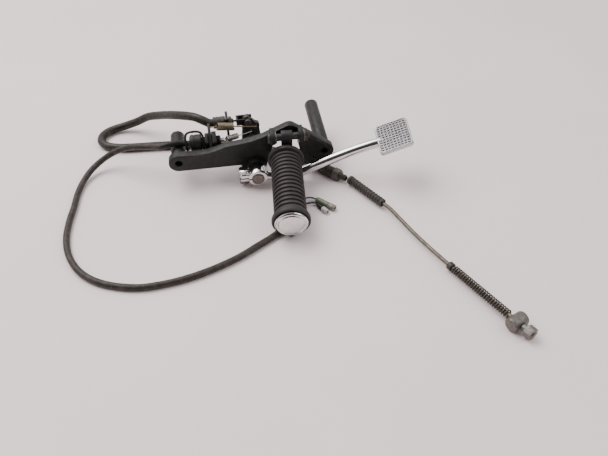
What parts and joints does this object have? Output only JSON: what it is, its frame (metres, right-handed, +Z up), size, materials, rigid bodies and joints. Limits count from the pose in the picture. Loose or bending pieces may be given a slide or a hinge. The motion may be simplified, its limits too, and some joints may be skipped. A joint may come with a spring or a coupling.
{
  "type": "motorcycle footrest and rear brake pedal bracket",
  "caption": "Right-hand folding footrest with ribbed rubber and chrome end, on a black bracket with a chrome brake pedal, stop-light switch, brake cable and switch lead.",
  "frame": {"origin": "on the floor it lies on, under the middle of the box round the bracket, peg and pedal, leaving out the free cords", "axes": "+Z up; +X to the front of the motorcycle, 8.5 degrees off the bracket's length; -Y outboard, the way the peg points"},
  "size_m": [0.4547, 0.3531, 0.0695],
  "materials": {
    "paint": "satin black paint, dusty and rubbed on the edges",
    "bronze": "plain bearing bronze",
    "plastic": "black moulded plastic and wire skin",
    "steel": "zinc-plated steel gone dull",
    "worn": "bare steel with light rust",
    "chrome": "bright chrome plate",
    "rubber": "moulded black rubber, slightly shiny with use",
    "vinyl": "aged brown-black vinyl sheath",
    "wire": "greased steel wire",
    "green": "pale green connector moulding",
    "blue": "blue wire skin and its clear blue sleeve"
  },
  "bodies": {
    "bracket": {"bracket_plate": "paint", "rear_mount_tube": "paint", "front_mount_tube": "paint", "pivot_sleeve": "paint", "outer_bush": "bronze", "inner_bush": "bronze", "rear_peg_ear": "paint", "front_peg_ear": "paint", "switch_tab": "paint", "cable_stop": "paint", "wire_guide_loop": "paint", "switch_body": "plastic", "switch_rear_nut": "plastic", "switch_front_nut": "plastic", "peg_pivot_pin": "steel", "pin_cotter": "steel", "pin_washer_rear": "chrome", "pin_washer_front": "steel", "upper_ferrule": "steel", "upper_lock_nut": "steel", "return_spring": "worn", "brake_cable": "vinyl", "lower_ferrule": "steel", "lower_lock_nut": "steel", "rubber_boot": "rubber", "switch_lead": "vinyl", "blue_wire": "blue", "black_wire": "plastic", "green_connector": "green", "black_connector": "plastic", "connector_sleeve": "blue"},
    "pedal": {"brake_pedal_arm": "chrome", "pedal_pad": "chrome", "pinch_bolt": "chrome", "pinch_nut": "chrome", "pivot_shaft": "worn", "inner_lever": "steel", "thrust_washer": "steel", "shaft_circlip": "steel", "clevis_pin": "steel"},
    "peg": {"peg_core": "paint", "peg_rubber": "rubber", "peg_end_cap": "chrome", "feeler_bolt": "steel"},
    "switch_rod": {"switch_plunger": "steel", "switch_spring": "steel", "switch_spring_hook": "steel"},
    "cable_pull": {"cable_fork": "paint"},
    "return_hook": {"return_spring_hook": "steel"},
    "cable_end": {"inner_wire": "wire", "spring_collar": "steel", "threaded_rod": "wire", "cable_spring": "worn", "barrel": "steel", "adjuster_nut": "steel"}
  },
  "joints": [
    {"name": "pedal_pivot", "type": "hinge", "parent": "bracket", "child": "pedal", "pos_m": [-0.03727, 0.00691, 0.01658], "axis": [-0.147, 0.9836, 0.1045], "range_deg": [0, 6.4], "stiffness_Nm_per_rad": 1.8, "springref_deg": -28.65, "deforming": ["return_spring"]},
    {"name": "peg_fold", "type": "hinge", "parent": "bracket", "child": "peg", "pos_m": [-0.00072, -0.00087, 0.05985], "axis": [-0.989, -0.1478, 0], "range_deg": [0, 80]},
    {"name": "switch_draw", "type": "slide", "parent": "bracket", "child": "switch_rod", "axis": [0.989, 0.1478, 0], "range_m": [0, 0.002]},
    {"name": "cable_draw", "type": "slide", "parent": "bracket", "child": "cable_pull", "axis": [0.989, 0.1478, 0], "range_m": [0, 0.0037]},
    {"name": "return_draw", "type": "slide", "parent": "bracket", "child": "return_hook", "axis": [0.9542, 0.1688, -0.247], "range_m": [0, 0.0028]},
    {"name": "brake_end_draw", "type": "slide", "parent": "bracket", "child": "cable_end", "axis": [-0.602, 0.7984, 0.0037], "range_m": [0, 0.0037]}
  ],
  "couplings": [
    {"joint": "switch_draw", "follows": "pedal_pivot", "m_per_rad": 0.0164},
    {"joint": "cable_draw", "follows": "pedal_pivot", "m_per_rad": 0.0314},
    {"joint": "return_draw", "follows": "pedal_pivot", "m_per_rad": 0.0242},
    {"joint": "brake_end_draw", "follows": "pedal_pivot", "m_per_rad": 0.0314}
  ]
}
